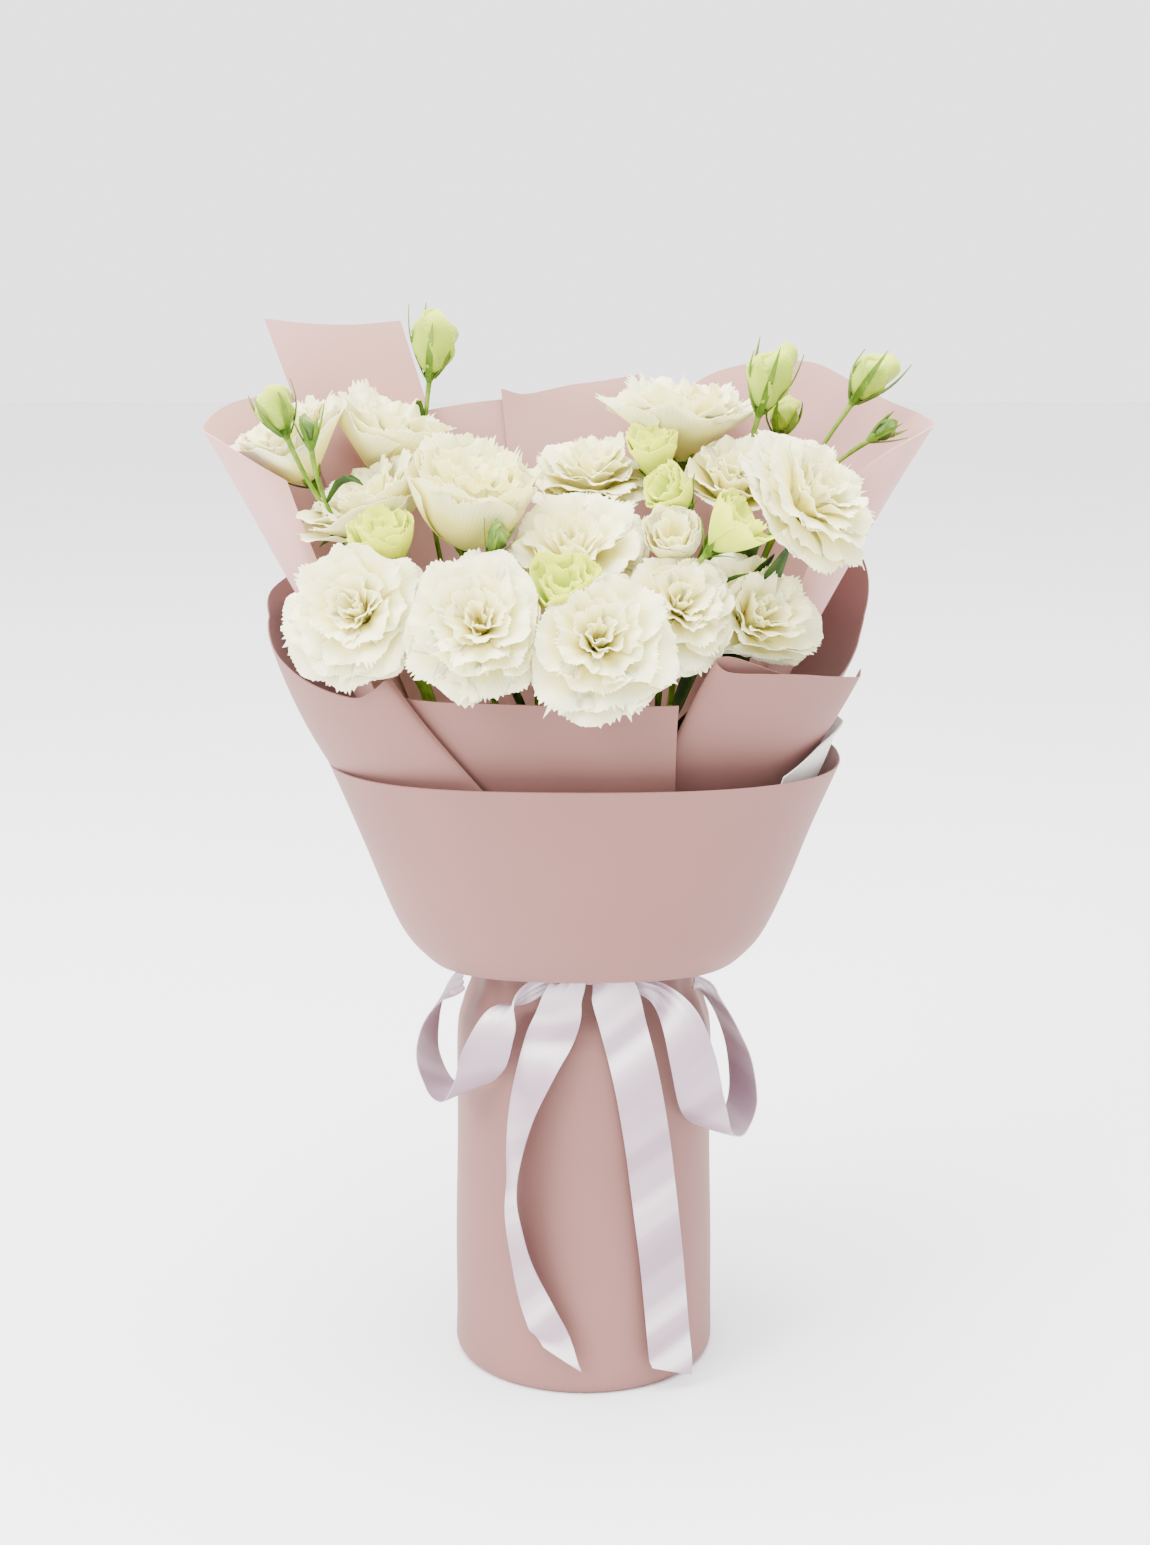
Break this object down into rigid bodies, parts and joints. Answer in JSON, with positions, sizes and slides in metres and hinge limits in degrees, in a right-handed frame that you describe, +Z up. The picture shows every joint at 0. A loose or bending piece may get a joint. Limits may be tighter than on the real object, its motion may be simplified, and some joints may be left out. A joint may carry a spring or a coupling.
{
  "type": "wrapped lisianthus bouquet",
  "caption": "Bouquet of fringed double lisianthus and green buds in folded paper sheets and a wide paper collar, tied with satin ribbon, upright on a closed round paper sleeve.",
  "frame": {"origin": "centre of the sleeve's round foot, on the floor it stands on", "axes": "+Z up along the bouquet, -Y towards the front where the ribbon is tied, +X to the viewer's right"},
  "size_m": [0.3912, 0.2279, 0.5932],
  "materials": {
    "tub": "matt",
    "foam": "matt, wet",
    "liner": "matt",
    "paper": "matt with a soft sheen",
    "ribbon": "satin",
    "stem": "matt",
    "petal_white": "matt, soft",
    "petal_green": "matt, soft"
  },
  "bodies": {
    "root": {"paper_sleeve": "paper", "inner_tub": "tub", "floral_foam": "foam", "paper_collar": "paper", "paper_left_wrap": "paper", "paper_front_panel": "paper", "paper_front_right": "paper", "paper_right_wrap": "paper", "paper_back_right": "paper", "paper_left_rolled": "paper", "paper_back_left": "paper", "paper_back_middle": "paper", "paper_back_centre": "paper", "inner_liner": "liner", "ribbon_band": "ribbon", "ribbon_knot": "ribbon", "ribbon_tail_left": "ribbon", "ribbon_tail_right": "ribbon", "ribbon_loop_left": "ribbon", "ribbon_loop_right": "ribbon", "stem_front_left": "stem", "stem_left": "stem", "stem_far_left": "stem", "stem_back_left": "stem", "stem_front_midleft": "stem", "stem_front_midright": "stem", "stem_middle": "stem", "stem_front_right": "stem", "stem_right": "stem", "stem_centre": "stem", "stem_back_right": "stem", "stem_far_right": "stem", "bloom_front_left": "petal_white", "bloom_front_midleft": "petal_white", "bloom_front_midright": "petal_white", "bloom_front_right": "petal_white", "bloom_low_right": "petal_white", "bloom_right": "petal_white", "bloom_middle": "petal_white", "bloom_midleft": "petal_white", "bloom_left": "petal_white", "bloom_back_left": "petal_white", "bloom_far_left": "petal_white", "bloom_back_middle": "petal_white", "bloom_back_right": "petal_white", "bloom_midright": "petal_white", "bloom_small": "petal_white", "half_left": "petal_green", "half_front": "petal_green", "half_right": "petal_green", "half_nodding": "petal_green", "half_back": "petal_green", "bud_top_left": "petal_green", "bud_far_left": "petal_green", "bud_top_right": "petal_green", "bud_round_right": "petal_green", "bud_far_right": "petal_green"}
  },
  "joints": []
}
